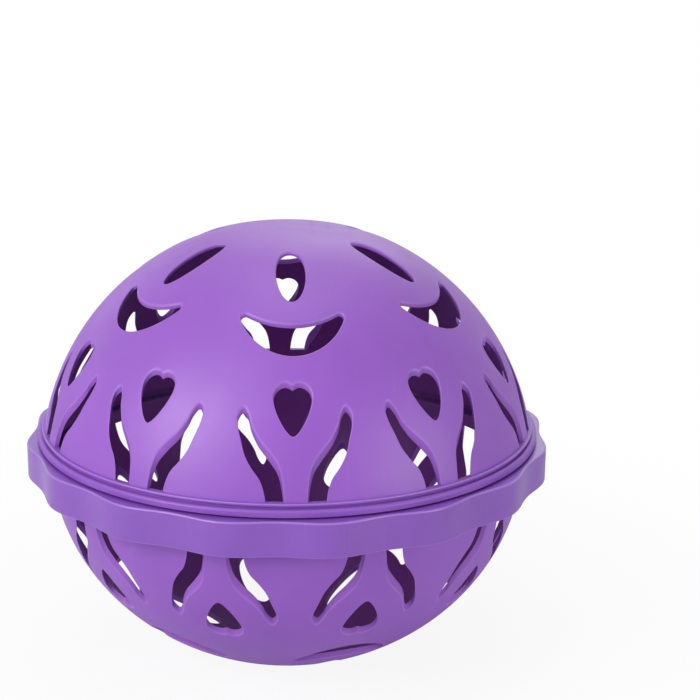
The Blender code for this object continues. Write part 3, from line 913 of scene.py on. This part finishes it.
def purple_plastic(name, colour, deep, pale_wear_and_highlight, inside, coat=0.0):
    """Satin polypropylene: faint cloudiness of the dye, fine moulded grain, lighter edges that are partly wear
    and partly a painted highlight, and a darker colour inside the ball that is painted shade.
    """
    material = bpy.data.materials.new(name)
    material.use_nodes = True
    tree = material.node_tree
    link = tree.links.new
    shader = tree.nodes["Principled BSDF"]
    place = node(tree, "ShaderNodeTexCoord")
    cloud = node(tree, "ShaderNodeTexNoise", in_Scale=38.0, in_Detail=3.0, in_Roughness=0.55)
    link(place.outputs["Object"], cloud.inputs["Vector"])
    ramp = node(tree, "ShaderNodeValToRGB")
    ramp.color_ramp.elements[0].position = 0.3
    ramp.color_ramp.elements[0].color = deep
    ramp.color_ramp.elements[1].position = 0.72
    ramp.color_ramp.elements[1].color = colour
    link(cloud.outputs["Fac"], ramp.inputs["Fac"])
    scratched = scuffs(tree, place.outputs["Object"])
    # Lighter edge colour: partly wear, partly a painted highlight along lips and corners.
    mark = node(tree, "ShaderNodeAttribute", attribute_name="edge")
    amount = node(tree, "ShaderNodeMath", operation="MULTIPLY")
    amount.inputs[1].default_value = EDGE_WEAR_AND_HIGHLIGHT
    link(mark.outputs["Fac"], amount.inputs[0])
    # Painted shade: this mark mixes in the darker colour painted inside the ball and in the rims' gaps.
    painted_shade = node(tree, "ShaderNodeAttribute", attribute_name="painted_shade")
    within = node(tree, "ShaderNodeMix", data_type="RGBA")
    within.inputs[7].default_value = inside
    link(painted_shade.outputs["Fac"], within.inputs["Factor"])
    link(ramp.outputs["Color"], within.inputs[6])
    wear_and_highlight = node(tree, "ShaderNodeMath", operation="MULTIPLY_ADD")
    wear_and_highlight.inputs[1].default_value = SCUFF_PALENESS
    link(scratched, wear_and_highlight.inputs[0])
    link(amount.outputs[0], wear_and_highlight.inputs[2])
    mix = node(tree, "ShaderNodeMix", data_type="RGBA")
    mix.inputs[7].default_value = pale_wear_and_highlight
    link(wear_and_highlight.outputs[0], mix.inputs["Factor"])
    link(within.outputs[2], mix.inputs[6])
    link(mix.outputs[2], shader.inputs["Base Color"])
    rough = node(tree, "ShaderNodeTexNoise", in_Scale=120.0, in_Detail=4.0, in_Roughness=0.6)
    link(place.outputs["Object"], rough.inputs["Vector"])
    spread = node(tree, "ShaderNodeMapRange", in_To_Min=0.36, in_To_Max=0.50)
    link(rough.outputs["Fac"], spread.inputs["Value"])
    dulled = node(tree, "ShaderNodeMath", operation="MULTIPLY_ADD")
    dulled.inputs[1].default_value = SCUFF_ROUGHNESS
    link(scratched, dulled.inputs[0])
    link(spread.outputs["Result"], dulled.inputs[2])
    link(dulled.outputs[0], shader.inputs["Roughness"])
    grain = node(tree, "ShaderNodeTexNoise", in_Scale=1500.0, in_Detail=2.0, in_Roughness=0.5)
    link(place.outputs["Object"], grain.inputs["Vector"])
    bump = node(tree, "ShaderNodeBump", in_Strength=0.12, in_Distance=0.0002)
    link(grain.outputs["Fac"], bump.inputs["Height"])
    link(bump.outputs["Normal"], shader.inputs["Normal"])
    shader.inputs["Specular IOR Level"].default_value = 0.5
    shader.inputs["Coat Weight"].default_value = coat
    shader.inputs["Coat Roughness"].default_value = 0.2
    shader.inputs["Subsurface Weight"].default_value = 0.12
    shader.inputs["Subsurface Radius"].default_value = (0.9, 0.4, 1.0)
    shader.inputs["Subsurface Scale"].default_value = 0.0012
    return material


def pale_floor():
    """Matt white floor that takes the shadow near the ball and fades to plain white further out."""
    material = bpy.data.materials.new("pale_floor")
    material.use_nodes = True
    tree = material.node_tree
    link = tree.links.new
    shader = tree.nodes["Principled BSDF"]
    shader.inputs["Base Color"].default_value = (0.88, 0.88, 0.88, 1.0)
    shader.inputs["Roughness"].default_value = 0.9
    shader.inputs["Specular IOR Level"].default_value = 0.1
    place = node(tree, "ShaderNodeTexCoord")
    length = node(tree, "ShaderNodeVectorMath", operation="LENGTH")
    link(place.outputs["Object"], length.inputs[0])
    fade = node(
        tree,
        "ShaderNodeMapRange",
        interpolation_type="SMOOTHSTEP",
        in_From_Min=0.02,
        in_From_Max=0.30,
        in_To_Min=0.9,
    )
    link(length.outputs["Value"], fade.inputs["Value"])
    path = node(tree, "ShaderNodeLightPath")
    seen = node(tree, "ShaderNodeMath", operation="MULTIPLY")
    link(fade.outputs["Result"], seen.inputs[0])
    link(path.outputs["Is Camera Ray"], seen.inputs[1])
    white = node(tree, "ShaderNodeEmission", in_Color=(1.0, 1.0, 1.0, 1.0), in_Strength=1.0)
    mix = node(tree, "ShaderNodeMixShader")
    link(seen.outputs[0], mix.inputs[0])
    link(shader.outputs[0], mix.inputs[1])
    link(white.outputs[0], mix.inputs[2])
    link(mix.outputs[0], tree.nodes["Material Output"].inputs["Surface"])
    return material


def dress(obj, material, body, node_name):
    obj.data.materials.clear()
    obj.data.materials.append(material)
    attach(obj, body)
    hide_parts(node_name)


# Each plastic's main shade, its cloudy patches, its lighter edge colour (worn wear, and partly a painted
# highlight) and the darker colour painted inside the ball as painted shade
DOME_SHADES = (
    (0.304, 0.104, 0.555, 1.0),
    (0.276, 0.092, 0.512, 1.0),
    (0.55, 0.32, 0.78, 1.0),
    (0.225, 0.033, 0.325, 1.0),
)
# Painted shade: the rim is the domes' plastic made darker.
RIM_SHADES = (
    (0.266, 0.090, 0.512, 1.0),
    (0.240, 0.079, 0.472, 1.0),
    (0.50, 0.29, 0.74, 1.0),
    (0.21, 0.033, 0.31, 1.0),
)
# Painted shade: the collar is the lower dome's plastic made darker and a little bluer.
COLLAR_SHADES = (
    (0.240, 0.080, 0.495, 1.0),
    (0.215, 0.070, 0.455, 1.0),
    (0.46, 0.27, 0.70, 1.0),
    (0.21, 0.033, 0.31, 1.0),
)
purple_upper = purple_plastic("purple_upper", *DOME_SHADES)
purple_lower = purple_plastic("purple_lower", *DOME_SHADES)
purple_rim_shaded = purple_plastic("purple_rim_shaded", *RIM_SHADES)
purple_collar_shaded = purple_plastic("purple_collar_shaded", *COLLAR_SHADES, coat=0.4)

dress(pierced_dome("upper_dome", UPPER), purple_upper, "upper", "upper_shell")
dress(upper_rim(), purple_rim_shaded, "upper", "upper_shell")
dress(lock_lugs(), purple_upper, "upper", "upper_shell")
dress(pierced_dome("lower_dome", LOWER, flat=-SEAM_ABOVE_FOOT), purple_lower, "lower", "lower_shell")
dress(grip_collar(), purple_collar_shaded, "lower", "lower_shell")
dress(turn_stops(), purple_lower, "lower", "lower_shell")

def toward(azimuth, elevation):
    """The direction from the middle of the ball at these angles, in degrees."""
    az, el = math.radians(azimuth), math.radians(elevation)
    return Vector((math.cos(el) * math.sin(az), -math.cos(el) * math.cos(az), math.sin(el)))


# Camera: the photograph's view, aimed at the seam's centre, with lengths in metres and pixels
DISTANCE = 0.6628
ELEVATION = 18.8485
AZIMUTH = -1.8959
FOCAL_PIXELS = 1909.29
CENTRE_PIXEL = (287.06, 428.38)
PICTURE = 700.0
SENSOR = 36.0
seam = Vector((0.0, 0.0, SEAM_ABOVE_FOOT * MM))
away = toward(AZIMUTH, ELEVATION)
lens = bpy.data.cameras.new("camera")
lens.sensor_width = SENSOR
lens.lens = SENSOR * FOCAL_PIXELS / PICTURE
lens.shift_x = (PICTURE / 2.0 - CENTRE_PIXEL[0]) / PICTURE
lens.shift_y = (CENTRE_PIXEL[1] - PICTURE / 2.0) / PICTURE
lens.clip_start = 0.01
camera = bpy.data.objects.new("camera", lens)
camera.location = seam + away * DISTANCE
camera.rotation_euler = (-away).to_track_quat("-Z", "Y").to_euler()
bpy.context.scene.collection.objects.link(camera)
bpy.context.scene.camera = camera


def area_light(name, azimuth, elevation, distance, size, power):
    """A round soft lamp aimed at the ball's middle. distance and size are in metres."""
    way = toward(azimuth, elevation)
    data = bpy.data.lights.new(name, "AREA")
    data.shape = "DISK"
    data.size = size
    data.energy = power
    light = bpy.data.objects.new(name, data)
    light.location = LAMP_AIM + way * distance
    light.rotation_euler = (-way).to_track_quat("-Z", "Y").to_euler()
    bpy.context.scene.collection.objects.link(light)


LAMP_AIM = Vector((0.0, 0.0, 0.08))

# Each lamp's azimuth, elevation, distance, size and power
LAMPS = {
    "key": (-55.0, 28.0, 1.45, 0.9, 15.2),
    "upper_left": (-30.0, 50.0, 1.4, 0.7, 1.7),
    "right": (55.0, 12.0, 1.4, 0.8, 7.2),
    "top": (180.0, 80.0, 1.3, 0.9, 3.8),
    "rear": (165.0, 35.0, 1.4, 0.9, 2.6),
}
for lamp, settings in LAMPS.items():
    area_light(lamp, *settings)

# World: plain white where it is seen, directly or mirrored, and dim where it only lights
WORLD_LIGHT = 0.12
world = bpy.data.worlds.new("studio")
bpy.context.scene.world = world
world.use_nodes = True
tree = world.node_tree
tree.nodes.clear()
out = tree.nodes.new("ShaderNodeOutputWorld")
seen = node(tree, "ShaderNodeBackground", in_Color=(1, 1, 1, 1), in_Strength=1.0)
lit = node(tree, "ShaderNodeBackground", in_Color=(1, 1, 1, 1), in_Strength=WORLD_LIGHT)
path = tree.nodes.new("ShaderNodeLightPath")
choose = tree.nodes.new("ShaderNodeMixShader")
shown = node(tree, "ShaderNodeMath", operation="MAXIMUM")
tree.links.new(path.outputs["Is Camera Ray"], shown.inputs[0])
tree.links.new(path.outputs["Is Glossy Ray"], shown.inputs[1])
tree.links.new(shown.outputs[0], choose.inputs[0])
tree.links.new(lit.outputs[0], choose.inputs[1])
tree.links.new(seen.outputs[0], choose.inputs[2])
tree.links.new(choose.outputs[0], out.inputs[0])

# Floor: a wide plane that isn't part of the object
FLOOR_REACH = 4.0
floor_corners = [(x * FLOOR_REACH, y * FLOOR_REACH, 0.0) for x, y in ((-1, -1), (1, -1), (1, 1), (-1, 1))]
floor_mesh = bpy.data.meshes.new("floor")
floor_mesh.from_pydata(floor_corners, [], [(0, 1, 2, 3)])
floor = bpy.data.objects.new("floor", floor_mesh)
bpy.context.scene.collection.objects.link(floor)
floor_mesh.materials.append(pale_floor())

bpy.context.scene.view_settings.view_transform = "Standard"
